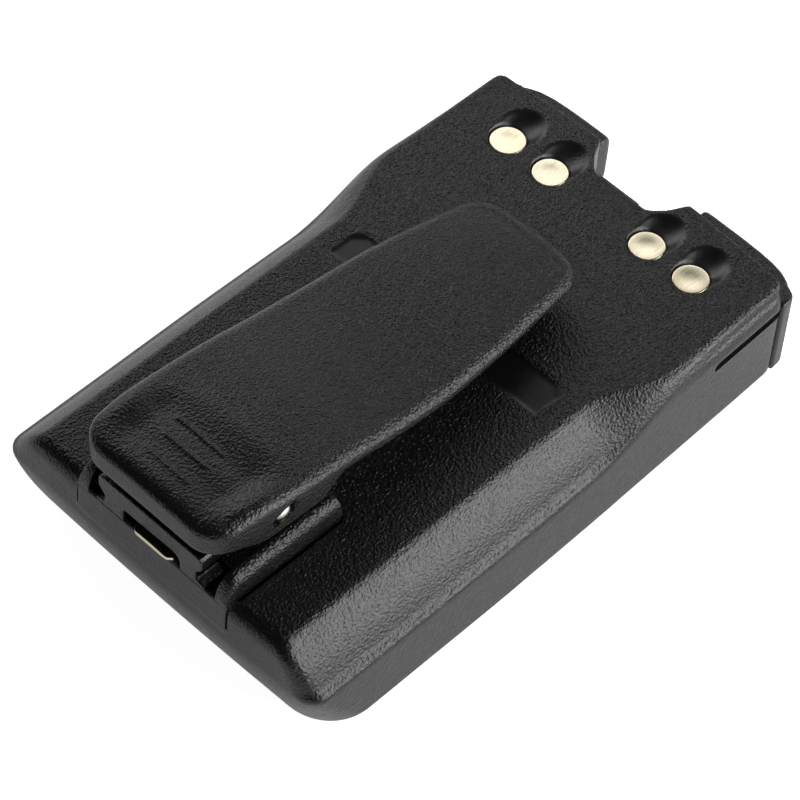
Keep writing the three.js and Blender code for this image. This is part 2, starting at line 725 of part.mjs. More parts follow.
function thermistor() {
  const bead = solid(new THREE.SphereGeometry(0.8, 10, 8).translate(8, 18, 14.5));
  let made = bead;
  for (const x of [7.6, 8.4]) {
    made = made.add(boxSolid([x - 0.15, 18, 14.35], [x + 0.15, 30.5, 14.65]));
  }
  return made;
}

function thermalFuse() {
  const body = boxSolid([-13, 12, 13.5], [-9, 20, 14.9]);
  const lead = boxSolid([-12, 6, 14.05], [-10, 30.5, 14.35]);
  return body.add(lead);
}

function chargingContact(x) {
  const top = outerTop(CONTACT.y) - CONTACT.recess;
  const head = [
    [0, top],
    [CONTACT.radius - 0.35, top],
    [CONTACT.radius, top - 0.25],
    [CONTACT.radius, top - CONTACT.recess + GAP],
    [1, top - CONTACT.recess + GAP],
    [1, 15],
    [0, 15],
  ];
  const points = head.map(([r, z]) => new THREE.Vector2(r, z)).reverse();
  return solid(new THREE.LatheGeometry(points, 24).rotateX(Math.PI / 2).translate(x, CONTACT.y, 0));
}

function radioContact(x) {
  const c = RADIO_CONTACT;
  const blade = box([x - c.halfWidth, c.y - c.halfLength, 0.5], [x + c.halfWidth, c.y + c.halfLength, 1.1]);
  const post = box([x - 0.7, c.y - 0.7, 0.8], [x + 0.7, c.y + 0.7, 4.7]);
  return solid(blade).add(solid(post));
}

// ---------------------------------------------------------------- assembly
piece("back_shell", backShell(), BLACK_PLASTIC);
piece("front_shell", frontShell(), BLACK_PLASTIC);
piece("clip_rail_bracket", railBracket(), BLACK_PLASTIC);
piece("clip_base", clipBase(), BLACK_PLASTIC);
piece("clip_lever", clipLever(), BLACK_PLASTIC);
piece("clip_pivot_pin", rodX(PIN.y, PIN.z, PIN.radius, -PIN.half, PIN.half), GOLD);
piece("clip_torsion_spring", torsionSpring(), STEEL);
piece("clip_latch_leaf", latchLeaf(), GOLD);
CONTACT.xs.forEach((x, i) => piece(`charging_contact_${i + 1}`, chargingContact(x), GOLD));
RADIO_CONTACT.xs.forEach((x, i) => piece(`radio_contact_${i + 1}`, radioContact(x), GOLD));
CELL.starts.forEach((start, i) => piece(`cell_${i + 1}`, cell(start), ALUMINIUM));
piece("cell_tray", cellTray(), INNER_PLASTIC);
piece("insulator_card", box([-19, -38, 12.6], [19, 24, 13]), CARD);
piece("link_strip", cellStrip(1, -28, 12, false), NICKEL);
piece("positive_strip", cellStrip(-1, -28, 31.6, true), NICKEL);
piece("negative_strip", cellStrip(1, 15, 31.6, true), NICKEL);
piece("protection_board", box([-22.5, BOARD_Y[0], 5], [22.5, BOARD_Y[1], 6.2]), FIBREGLASS);
piece("protection_mosfet", box([-13, 31.5, 6.5], [-7, 35.5, 7.8]), COMPONENT);
piece("protection_ic", box([-3, 31.8, 6.5], [1, 35, 7.5]), COMPONENT);
piece("board_header", header(), COMPONENT);
piece("contact_board", box([-20.5, 31.9, 13.5], [20.5, 37.4, 14.7]), FIBREGLASS);
piece("thermistor", thermistor(), COMPONENT);
piece("thermal_fuse", thermalFuse(), INNER_PLASTIC);
piece("rating_label", box([-15.7, -33.7, 0.03], [15.7, 11.7, 0.3]), LABEL);

export default pack;
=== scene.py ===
import math

import bmesh
import bpy
import numpy as np
from mathutils import Matrix, Vector


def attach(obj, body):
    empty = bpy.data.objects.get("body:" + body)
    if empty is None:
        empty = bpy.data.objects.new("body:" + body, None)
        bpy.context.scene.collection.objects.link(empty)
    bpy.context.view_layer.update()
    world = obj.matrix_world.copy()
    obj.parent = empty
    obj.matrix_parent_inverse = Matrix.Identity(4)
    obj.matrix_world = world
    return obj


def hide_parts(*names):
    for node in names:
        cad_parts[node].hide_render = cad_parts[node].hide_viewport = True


# Belt-clip battery pack of a two-way radio. Shapes are made in millimetres in the CAD frame
# (X width, +Y towards the contact end, +Z out of the clip side) and put in the scene in metres.
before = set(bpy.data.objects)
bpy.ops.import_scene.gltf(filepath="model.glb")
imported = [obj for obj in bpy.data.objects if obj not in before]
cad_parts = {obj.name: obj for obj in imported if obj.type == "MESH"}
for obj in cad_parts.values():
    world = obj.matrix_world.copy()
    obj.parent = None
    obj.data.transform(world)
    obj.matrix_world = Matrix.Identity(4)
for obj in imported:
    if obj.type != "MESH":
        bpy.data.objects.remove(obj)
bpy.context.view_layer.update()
MM = 0.001


# ---------------------------------------------------------------- numbers and outlines
def clamp(t):
    return min(1.0, max(0.0, t))


def smooth(t):
    t = clamp(t)
    return t * t * (3 - 2 * t)


def mix(a, b, t):
    return a + (b - a) * t


def along(rows, y, column):
    """A smooth value along a list of rows [y, value, ...], picking one column."""
    last = len(rows) - 1
    i = 0
    while i < last - 1 and y > rows[i + 1][0]:
        i += 1

    def slope(j):
        a, b = rows[max(0, j - 1)], rows[min(last, j + 1)]
        return (b[column] - a[column]) / (b[0] - a[0])

    step = rows[i + 1][0] - rows[i][0]
    t = clamp((y - rows[i][0]) / step)
    p, q = rows[i][column], rows[i + 1][column]
    m, n = slope(i) * step, slope(i + 1) * step
    return (
        p * (2 * t**3 - 3 * t**2 + 1)
        + m * (t**3 - 2 * t**2 + t)
        + q * (3 * t**2 - 2 * t**3)
        + n * (t**3 - t**2)
    )


def steps(low, high, count):
    return [mix(low, high, i / count) for i in range(count + 1)]


# ---------------------------------------------------------------- mesh tools
def make(name, points, faces):
    """A new object whose mesh is in millimetres until finish_piece() scales it."""
    mesh = bpy.data.meshes.new(name)
    mesh.from_pydata([tuple(p) for p in points], [], faces)
    shape = bmesh.new()
    shape.from_mesh(mesh)
    bmesh.ops.recalc_face_normals(shape, faces=shape.faces)
    shape.to_mesh(mesh)
    shape.free()
    made = bpy.data.objects.new(name, mesh)
    bpy.context.scene.collection.objects.link(made)
    return made


def settle(obj):
    """Applies the object's modifiers."""
    graph = bpy.context.evaluated_depsgraph_get()
    mesh = bpy.data.meshes.new_from_object(obj.evaluated_get(graph))
    obj.modifiers.clear()
    obj.data = mesh


def combine(obj, operation, tools):
    """Joins the tools to the object or cuts them out of it, and removes them."""
    for tool in tools:
        step = obj.modifiers.new("combine", "BOOLEAN")
        step.operation = operation
        step.solver = "MANIFOLD"
        step.object = tool
    settle(obj)
    for tool in tools:
        bpy.data.objects.remove(tool)
    return obj


def cut(obj, *tools):
    return combine(obj, "DIFFERENCE", tools)


def join(obj, *tools):
    return combine(obj, "UNION", tools)


SHELL_VOXEL, COVER_VOXEL, INSERT_VOXEL, BASE_VOXEL = 0.36, 0.37, 0.15, 0.14


def soften(obj, voxel, passes):
    """Remakes the skin at an even density and rounds its edges like moulded plastic."""
    grid = obj.modifiers.new("grid", "REMESH")
    grid.mode = "VOXEL"
    grid.voxel_size = voxel
    ease = obj.modifiers.new("ease", "SMOOTH")
    ease.factor = 0.5
    ease.iterations = passes
    settle(obj)
    return obj


def prism(name, outline, low, high):
    """An outline of (x, y) points pulled up from z low to z high."""
    count = len(outline)
    points = [(x, y, low) for x, y in outline] + [(x, y, high) for x, y in outline]
    faces = [tuple(range(count)), tuple(range(count, 2 * count))]
    for i in range(count):
        j = (i + 1) % count
        faces.append((i, j, j + count, i + count))
    return make(name, points, faces)


def side_prism(name, outline, x0, x1):
    """An outline of (y, z) points pulled along X."""
    made = prism(name, outline, x0, x1)
    for v in made.data.vertices:
        v.co = Vector((v.co.z, v.co.x, v.co.y))
    return made


def box(name, low, high):
    outline = [(low[0], low[1]), (high[0], low[1]), (high[0], high[1]), (low[0], high[1])]
    return prism(name, outline, low[2], high[2])


def circle(x, y, radius, count):
    turns = [2 * math.pi * i / count for i in range(count)]
    return [(x + radius * math.cos(a), y + radius * math.sin(a)) for a in turns]


def rod_x(name, y, z, radius, x0, x1, count=48):
    return side_prism(name, circle(y, z, radius, count), x0, x1)


def lathe(name, profile, x, y, count):
    """A profile of (radius, z) points turned about an upright axis, where it starts and ends."""
    points = [(x, y, profile[0][1]), (x, y, profile[-1][1])]
    faces = []
    rings = profile[1:-1]
    for radius, z in rings:
        points += [(px, py, z) for px, py in circle(x, y, radius, count)]
    for i in range(count):
        j = (i + 1) % count
        faces.append((0, 2 + j, 2 + i))
        for r in range(len(rings) - 1):
            a, b = 2 + r * count, 2 + (r + 1) * count
            faces.append((a + i, a + j, b + j, b + i))
        last = 2 + (len(rings) - 1) * count
        faces.append((1, last + i, last + j))
    return make(name, points, faces)


def skin(name, rings):
    """A skin through flat rings with the same number of points, closed flat at both ends."""
    count = len(rings[0])
    faces = [tuple(range(count)), tuple((len(rings) - 1) * count + i for i in range(count))]
    for r in range(len(rings) - 1):
        for i in range(count):
            a, b = r * count + i, r * count + (i + 1) % count
            faces.append((a, b, b + count, a + count))
    return make(name, [p for ring in rings for p in ring], faces)


def loft(name, rings):
    """A skin through rings that mirror left to right; rungs across close the first and last."""
    count = len(rings[0])
    faces = []
    for r in range(len(rings) - 1):
        for i in range(count):
            a, b = r * count + i, r * count + (i + 1) % count
            faces.append((a, b, b + count, a + count))
    half = count // 2
    for first in (0, (len(rings) - 1) * count):
        faces.append((first, first + 1, first + count - 1))
        faces.append((first + half - 1, first + half, first + half + 1))
        for i in range(1, half - 1):
            faces.append((first + i, first + i + 1, first + count - i - 1, first + count - i))
    return make(name, [p for ring in rings for p in ring], faces)


# ---------------------------------------------------------------- materials
def nodes_of(name):
    material = bpy.data.materials.new(name)
    material.use_nodes = True
    tree = material.node_tree
    return material, tree, tree.nodes["Principled BSDF"]


class Wiring:
    """Short names for the nodes that the finishes share."""

    def __init__(self, tree):
        self.tree = tree
        self.place = tree.nodes.new("ShaderNodeTexCoord").outputs["Object"]

    def node(self, kind, **inputs):
        made = self.tree.nodes.new("ShaderNode" + kind)
        for key, value in inputs.items():
            self.put(value, made.inputs[key])
        return made

    def put(self, value, socket):
        if isinstance(value, bpy.types.NodeSocket):
            self.tree.links.new(value, socket)
        else:
            socket.default_value = value

    def stretched(self, scale):
        mapping = self.node("Mapping", Vector=self.place)
        mapping.inputs["Scale"].default_value = scale
        return mapping.outputs["Vector"]

    def noise(self, scale, detail=2.0, roughness=0.5, where=None):
        made = self.node("TexNoise", Scale=scale, Detail=detail, Roughness=roughness)
        self.tree.links.new(where or self.place, made.inputs["Vector"])
        return made.outputs["Fac"]

    def cells(self, scale, where=None, smoothness=0.6):
        made = self.node("TexVoronoi", Scale=scale)
        made.feature = "SMOOTH_F1"
        made.inputs["Smoothness"].default_value = smoothness
        self.tree.links.new(where or self.place, made.inputs["Vector"])
        return made.outputs["Distance"]

    def math(self, operation, a, b=0.0):
        made = self.tree.nodes.new("ShaderNodeMath")
        made.operation = operation
        self.put(a, made.inputs[0])
        self.put(b, made.inputs[1])
        return made.outputs[0]

    def span(self, value, low, high, to_low, to_high):
        made = self.tree.nodes.new("ShaderNodeMapRange")
        for socket, item in zip(made.inputs, (value, low, high, to_low, to_high)):
            self.put(item, socket)
        return made.outputs[0]

    def ramp(self, value, *stops):
        made = self.tree.nodes.new("ShaderNodeValToRGB")
        bar = made.color_ramp
        while len(bar.elements) < len(stops):
            bar.elements.new(0.5)
        for element, (at, color) in zip(bar.elements, stops):
            element.position = at
            element.color = (*color, 1)
        self.put(value, made.inputs[0])
        return made.outputs[0]

    def attribute(self, name):
        made = self.tree.nodes.new("ShaderNodeAttribute")
        made.attribute_name = name
        return made.outputs["Fac"]

    def pointiness(self):
        return self.tree.nodes.new("ShaderNodeNewGeometry").outputs["Pointiness"]

    def bump(self, height, strength, distance, normal=None):
        made = self.node("Bump", Height=height, Strength=strength, Distance=distance)
        if normal:
            self.tree.links.new(normal, made.inputs["Normal"])
        return made.outputs["Normal"]


# Scales are in features per metre, relief in metres.
WRINKLE_SCALE, PIT_SCALE, GRAIN_RELIEF = 2400.0, 3000.0, 0.00026
FINE_SCALE, FINE_RELIEF = 7000.0, 0.00004
SMOOTH_ROUGHNESS, GRAIN_ROUGHNESS = 0.31, 0.24
DARKEST, BLACK = (0.0035, 0.0035, 0.0037), (0.0055, 0.0055, 0.0058)
WORN_EDGE = (0.022, 0.022, 0.0228)


def black_plastic():
    """Moulded black plastic with a fine leathery grain, smooth where "grain" is 0."""
    material, tree, shader = nodes_of("black_plastic")
    w = Wiring(tree)
    grain = w.attribute("grain")
    wrinkles = w.noise(WRINKLE_SCALE, 3.0, 0.62, w.stretched((1.0, 0.72, 1.0)))
    pits = w.cells(PIT_SCALE, w.stretched((1.0, 0.8, 1.0)))
    height = w.math("ADD", w.math("MULTIPLY", wrinkles, 0.75), w.math("MULTIPLY", pits, 0.45))
    textured = w.bump(height, w.span(grain, 0, 1, 0.03, 1.0), GRAIN_RELIEF)
    fine = w.noise(FINE_SCALE, 2.0, 0.5)
    tree.links.new(w.bump(fine, 0.14, FINE_RELIEF, textured), shader.inputs["Normal"])
    cloud = w.noise(90.0, 3.0, 0.6)
    edge = w.span(w.pointiness(), 0.505, 0.56, 0.0, 1.0)
    shade = w.math("ADD", w.math("MULTIPLY", cloud, 0.25), w.math("MULTIPLY", edge, 0.55))
    color = w.ramp(shade, (0.0, DARKEST), (0.3, BLACK), (1.0, WORN_EDGE))
    tree.links.new(color, shader.inputs["Base Color"])
    uneven = w.span(w.noise(420.0, 3.0, 0.6), 0.3, 0.7, -0.03, 0.04)
    rough = w.math("ADD", uneven, w.span(grain, 0, 1, SMOOTH_ROUGHNESS, GRAIN_ROUGHNESS))
    tree.links.new(rough, shader.inputs["Roughness"])
    return material


def metal(name, low, high, rough, scale=(1.0, 1.0, 1.0), scratch=0.15):
    """Plated metal with a faint cloudiness and fine scratches along one direction."""
    material, tree, shader = nodes_of(name)
    w = Wiring(tree)
    shader.inputs["Metallic"].default_value = 1.0
    cloud = w.noise(260.0, 3.0, 0.55)
    tree.links.new(w.ramp(cloud, (0.3, low), (0.7, high)), shader.inputs["Base Color"])
    lines = w.noise(2600.0, 3.0, 0.6, w.stretched(scale))
    tree.links.new(w.span(lines, 0.3, 0.7, rough - 0.05, rough + 0.07), shader.inputs["Roughness"])
    tree.links.new(w.bump(lines, scratch, 0.00003), shader.inputs["Normal"])
    return material


def dull(name, low, high, rough, scale, bump, fibres=(1.0, 1.0, 1.0)):
    """A plain material for the inside pieces: mottled colour, uneven roughness, fine relief."""
    material, tree, shader = nodes_of(name)
    w = Wiring(tree)
    grain = w.noise(scale, 4.0, 0.6, w.stretched(fibres))
    tree.links.new(w.ramp(grain, (0.3, low), (0.7, high)), shader.inputs["Base Color"])
    tree.links.new(w.span(grain, 0.3, 0.7, rough - 0.06, rough + 0.06), shader.inputs["Roughness"])
    tree.links.new(w.bump(grain, bump, 0.00005), shader.inputs["Normal"])
    return material


PLASTIC = black_plastic()
GOLD = metal("gold_plate", (0.86, 0.77, 0.56), (0.93, 0.85, 0.65), 0.2, (1.0, 0.12, 1.0), 0.05)
PIN_METAL = metal("pin_plate", (0.86, 0.83, 0.7), (0.95, 0.93, 0.84), 0.42, (1.0, 0.12, 1.0), 0.05)
STEEL = metal("spring_steel", (0.45, 0.46, 0.47), (0.62, 0.63, 0.64), 0.3, (0.3, 1.0, 1.0))
NICKEL = metal("nickel_strip", (0.58, 0.57, 0.54), (0.72, 0.71, 0.68), 0.32, (1.0, 0.1, 1.0), 0.2)
CAN = metal("cell_can", (0.52, 0.53, 0.54), (0.66, 0.67, 0.68), 0.4, (0.08, 1.0, 1.0), 0.25)
INNER = dull("inner_plastic", (0.018, 0.018, 0.02), (0.03, 0.03, 0.032), 0.55, 1800.0, 0.4)
BOARD = dull(
    "circuit_board", (0.008, 0.085, 0.035), (0.012, 0.12, 0.05), 0.38, 900.0, 0.25, (1.0, 0.2, 1.0)
)
CARD = dull(
    "insulation_card", (0.42, 0.34, 0.2), (0.52, 0.43, 0.27), 0.85, 2200.0, 0.6, (0.25, 1.0, 1.0)
)
LABEL = dull("rating_label", (0.6, 0.6, 0.59), (0.67, 0.67, 0.66), 0.5, 1500.0, 0.15)
COMPONENT = dull("component_epoxy", (0.012, 0.012, 0.013), (0.024, 0.024, 0.025), 0.5, 2600.0, 0.4)


def paint_grain(obj, value=None):
    """Stores how textured the plastic is at each point: value(x, y, z) in millimetres, or 1."""
    count = len(obj.data.vertices)
    places = np.zeros(count * 3, np.float32)
    obj.data.vertices.foreach_get("co", places)
    x, y, z = places.reshape(-1, 3).T
    amount = np.ones(count, np.float32) if value is None else value(x, y, z)
    store = obj.data.attributes.new("grain", "FLOAT", "POINT")
    store.data.foreach_set("value", amount.astype(np.float32))


def finish_piece(obj, body, material, replaced, crease=180.0):
    """Puts a piece into the frame in metres, with its finish and body, and hides the CAD nodes that
    it stands for.
    """
    obj.data.transform(Matrix.Scale(MM, 4))
    obj.data.materials.clear()
    obj.data.materials.append(material)
    obj.data.shade_smooth()
    if crease < 180.0:
        obj.data.set_sharp_from_angle(angle=math.radians(crease))
    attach(obj, body)
    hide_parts(*replaced)


# ---------------------------------------------------------------- housing
FLAT_END, BOTTOM_END, EAR_END = -45.45, -47.85, 44.65
CONTACT_XS, CONTACT_Y = (-16.89, -8.93, 8.93, 16.89), 35.02
CONTACT_RADIUS = 2.55
TOP_AT_BOTTOM, TOP_AT_EAR = 18.4, 17.4  # height of the outer face at each end
HALF_WIDTH, END_TAPER = 28.5, 1.2  # the end taper is how much narrower each side gets
BODY_CREASE, HEAD_CREASE = 11.5, 15.9  # height of the side crease
BODY_FLAT, HEAD_FLAT = 22.0, 25.9  # half width of the outer face
HEAD_LEAN, SLOPE_BULGE = 0.75, 0.75
ROLL_LOW, ROLL_HEIGHT = 15.9, 2.5  # where the bottom end rolls into the outer face
BOTTOM_BOW, TOP_BOW = 0.0006, 0.002  # how the end walls curve, per millimetre


def outer_top(y):
    return mix(TOP_AT_BOTTOM, TOP_AT_EAR, clamp((y - BOTTOM_END) / (EAR_END - BOTTOM_END)))


def band_half(y):
    return HALF_WIDTH - END_TAPER * clamp((y + 13.65) / 57) ** 1.3


def waist(y):
    return smooth((y - 4.3) / 18)


def crease_z(y):
    return mix(BODY_CREASE, HEAD_CREASE, waist(y))


def flat_half(y):
    return mix(BODY_FLAT, HEAD_FLAT, smooth((y - 7.3) / 14))


def head_lean(y, z):
    return HEAD_LEAN * smooth((y - 12) / 24) * smooth((z - 14.5) / 2.5)


def bottom_at(z):
    """Where the bottom end lies at a height."""
    if z < BODY_CREASE:
        return BOTTOM_END + 4.2 * ((BODY_CREASE - z) / BODY_CREASE) ** 1.5
    up = clamp((z - ROLL_LOW) / ROLL_HEIGHT)
    return FLAT_END - (FLAT_END - BOTTOM_END) * math.sqrt(1 - up * up)


BAND_LEVELS = [
    (0, 0.6), (0.015, 0.36), (0.035, 0.15), (0.07, 0), (0.2, 0), (0.35, 0), (0.5, 0),
    (0.65, 0), (0.8, 0), (0.92, 0), (0.965, 0.07), (1, 0.35),
]
SLOPE_LEVELS = [
    0, 0.1, 0.2, 0.3, 0.4, 0.5, 0.58, 0.66, 0.73, 0.79, 0.84, 0.88, 0.92, 0.95, 0.975, 1,
]


def side_point(level, y):
    kind, value, inset = level
    crease = crease_z(y)
    if kind == "band":
        fade = 1 - waist(y) if value == 1 else 1
        z = value * (crease - 0.2)
        return band_half(y) - inset * fade - head_lean(y, z), z
    start = band_half(y) - 0.9 * (1 - waist(y)) - 0.15 - head_lean(y, 17)
    bulge = SLOPE_BULGE * math.sin(math.pi * value) * (1 - 0.5 * waist(y))
    x = mix(start, flat_half(y), value) + bulge * 0.6
    return x, mix(crease + 0.2, outer_top(y), value) + bulge * 0.25


def housing_ring(level, inset=0.0):
    share = level[1] if level[0] == "slope" else 0
    low, high = side_point(level, -40)[1], side_point(level, 38)[1]
    bottom = bottom_at(low) + inset
    top = EAR_END - 0.3 * (1 - share) - inset
    low_corner = mix(mix(7.5, 3, clamp(low / BODY_CREASE)), 1.6, share)
    top_corner = mix(1.5, 0.9, share)
    half = []
    for x in (0, 3, 6, 9, 12, 15):
        half.append((x, bottom + BOTTOM_BOW * x * x, low))
    for turn in steps(0, 1, 10):
        angle = turn * math.pi / 2
        y = bottom + low_corner * (1 - math.cos(angle))
        x = side_point(level, y)[0] - inset - low_corner * (1 - math.sin(angle))
        half.append((x, y + BOTTOM_BOW * x * x * (1 - turn), low))
    for y in steps(-33, 34, 90):
        x, z = side_point(level, y)
        half.append((x - inset, y, z))
    for turn in reversed(steps(0, 1, 8)):
        angle = turn * math.pi / 2
        y = top - top_corner * (1 - math.cos(angle))
        x = side_point(level, y)[0] - inset - top_corner * (1 - math.sin(angle))
        half.append((x, y - TOP_BOW * x * x, high))
    for x in (20, 17, 14, 11, 8, 4, 0):
        half.append((x, top - TOP_BOW * x * x, high))
    return half + [(-x, y, z) for x, y, z in reversed(half[1:-1])]


def housing_skin(name, inset=0.0):
    levels = [("band", value, back) for value, back in BAND_LEVELS]
    levels += [("slope", value, 0) for value in SLOPE_LEVELS]
    if inset:
        levels = levels[3:11:3] + levels[12::5]
    rings = [housing_ring(level, inset) for level in levels]
    if inset:
        last = len(rings) - 1
        rings = [
            [(x, y, -1.0 if i == 0 else z - inset * i / last) for x, y, z in ring]
            for i, ring in enumerate(rings)
        ]
    return loft(name, rings)


NOTCH = [(4.6, 39.5), (5.4, 40.1), (6.9, 41.9), (7.8, 43.75), (8.4, 44.65), (8.4, 50)]


def notch(margin, low, high):
    right = [(x + margin, y - margin if i == 0 else y) for i, (x, y) in enumerate(NOTCH)]
    return prism("notch", right + [(-x, y) for x, y in reversed(right)], low, high)


def scoop(x):
    """The bowl that guides a charger pin down to a contact, with the contact's own round well."""
    top = outer_top(CONTACT_Y)
    reach_x, reach_y, centre = 3.15, 3.75, CONTACT_Y + 2.75
    bowl = bpy.data.meshes.new("bowl")
    shape = bmesh.new()
    bmesh.ops.create_uvsphere(shape, u_segments=64, v_segments=48, radius=1)
    # An ellipsoid centred above the outer face, so that its cut with the face is the outline.
    rise, depth = 2.2, 0.95
    radius_z = rise + depth
    spread = math.sqrt(1 - (rise / radius_z) ** 2)
    for v in shape.verts:
        across, lengthwise = v.co.x * reach_x / spread, v.co.y * reach_y / spread
        v.co = Vector((x + across, centre + lengthwise, top + rise + v.co.z * radius_z))
    shape.to_mesh(bowl)
    shape.free()
    made = bpy.data.objects.new("bowl", bowl)
    bpy.context.scene.collection.objects.link(made)
    well = prism("well", circle(x, CONTACT_Y, CONTACT_RADIUS + 0.2, 64), top - 1.5, 21)
    stem = prism("stem", circle(x, CONTACT_Y, 1.3, 32), 10, 20)
    return [made, well, stem]


def head_slot(side):
    """The guide slot in one side wall of the head, right through the wall."""
    at = band_half(35)
    outline = [
        (28.6, 12.55), (28.9, 12.45), (43.6, 12.45), (43.6, 13.9),
        (29.4, 13.9), (28.7, 13.6), (28.4, 13.0),
    ]
    return [side_prism("slot", outline, side * (at - 3), side * (at + 2))]


WALL = 1.8
SEAM_X, SEAM = 13.6, 0.3  # the two lines where the rail insert meets the housing, and their width


def build_back_shell():
    """The outer housing; the first cuts are rounded, the hollow, seams and slots stay sharp."""
    shell = housing_skin("back_shell_skin")
    band = [(19.2, 2.3), (19.2, 6.7), (17.2, 8.5), (-17.2, 8.5), (-19.2, 6.7), (-19.2, 2.3)]
    cutters = [notch(0, -1, 25), prism("band", band, outer_top(5.4) - 0.22, 25)]
    for x in CONTACT_XS:
        cutters += scoop(x)
    cutters.append(box("seat_top", (-13.75, -60, 17.0), (13.75, -27.35, 30)))
    cut(shell, *cutters)
    join(shell, box("end_wall", (-13.5, -47.9, 13), (13.5, -46.3, 18.35)))
    seams = [
        box("seam", (x - SEAM / 2, -60, 13.8), (x + SEAM / 2, -47.3, 30)) for x in (-SEAM_X, SEAM_X)
    ]
    soften(shell, SHELL_VOXEL, 3)
    hollow = housing_skin("hollow", WALL)
    cut(hollow, notch(WALL, -2, 25))
    way = box("way", (-24.8, 37, -1), (24.8, 60, 2.3))
    cut(shell, hollow, way, *seams, *head_slot(1), *head_slot(-1))

    def textured(x, y, z):
        top = TOP_AT_BOTTOM - (y - BOTTOM_END) / (EAR_END - BOTTOM_END)
        on_band = (np.abs(x) < 19.1) & (y > 2.4) & (y < 8.4) & (z > top - 0.4)
        grain = np.where(z < top - 0.45, 0.55, 1.0)
        grain = np.where(on_band, 0.0, grain)
        for cx in CONTACT_XS:
            near = ((x - cx) / 3.3) ** 2 + ((y - CONTACT_Y - 2.75) / 3.9) ** 2
            disc = ((x - cx) / 3.0) ** 2 + ((y - CONTACT_Y) / 3.0) ** 2
            inside = (np.minimum(near, disc) < 1) & (z > top - 2)
            grain = np.where(inside, 0.0, grain)
        in_notch = (np.abs(x) < 9) & (y > 38.9) & (y < 45.2) & (z < top - 0.3)
        return np.where(in_notch, 0.2, grain)

    paint_grain(shell, textured)
    finish_piece(shell, "pack", PLASTIC, ["back_shell"], 40)


# ---------------------------------------------------------------- clip lever
LEVER_LINE = [
    (-49.15, 31.3, 12.2), (-41.65, 31.6, 12.9), (-33.65, 30.5, 13.15), (-25.65, 29.4, 13.05),
    (-17.65, 27.8, 12.95), (-7.65, 26.3, 12.7), (2.35, 25.55, 12.0), (12.35, 24.65, 10.7),
    (21.8, 23.35, 9.3),
]
THUMB_END, TIP, CORNER, TIP_CORNER = -49.15, 21.8, 4.6, 4.0
EDGE, EDGE_DROP = 2.0, 1.35  # how far the rounded outer edge reaches in, and down
PIN_Y, PIN_Z, PIN_BORE = -37.6, 27.4, 1.06
RIBS = [(-44.7, -4.6, 3.4), (-41.4, -4.7, 2.9), (-38.4, -5.6, 3.0)]  # (y, left end, right end)
RIB_HEIGHT, DISH_DEPTH = 0.13, 0.75


def lever_half(y):
    return along(LEVER_LINE, y, 2)


def lever_top(x, y):
    half = lever_half(y) - EDGE
    share = clamp(abs(x) / half)
    to_thumb = clamp(1 - (y - THUMB_END) / CORNER)
    to_tip = clamp(1 - (TIP - y) / TIP_CORNER)
    z = along(LEVER_LINE, y, 1) + 0.35 * (1 - share * share)
    z -= 0.5 * to_tip**2 + 0.35 * to_thumb**3
    across = smooth((half - 1.6 - abs(x)) / 4.5 + 0.5)
    z -= DISH_DEPTH * across * smooth(1.25 * (1 - abs(y + 40.9) / 7.8))
    for at, left, right in RIBS:
        ends = smooth((x - left) / 0.7 + 0.5) * smooth((right - x) / 0.7 + 0.5)
        z += RIB_HEIGHT * ends * math.exp(-(((y - at) / 0.32) ** 2))
    return z


def lever_low(y):
    sheet = along(LEVER_LINE, y, 1) - 2.3 + 0.4 * smooth((y + 10) / 12)
    walls = 24.6 + 2.4 * smooth((-39.5 - y) / 7)
    return mix(walls, sheet, smooth((y + 31) / 4.5))


def lever_sides(inset):
    """The right side's points from the thumb end's corner to the tip's, drawn in by inset."""
    points = []
    centre_x, centre_y = lever_half(THUMB_END + CORNER) - CORNER, THUMB_END + CORNER
    for turn in steps(0, 1, 14):
        a = turn * math.pi / 2
        reach = CORNER - inset
        points.append((centre_x + reach * math.sin(a), centre_y - reach * math.cos(a)))
    for y in steps(centre_y, -33.4, 80)[1:] + steps(-33.4, TIP - TIP_CORNER, 70)[1:-1]:
        points.append((lever_half(y) - inset, y))
    centre_x, centre_y = lever_half(TIP - TIP_CORNER) - TIP_CORNER, TIP - TIP_CORNER
    for turn in steps(0, 1, 14):
        a = turn * math.pi / 2
        reach = TIP_CORNER - inset
        points.append((centre_x + reach * math.cos(a) - 0.9 * turn, centre_y + reach * math.sin(a)))
    return points


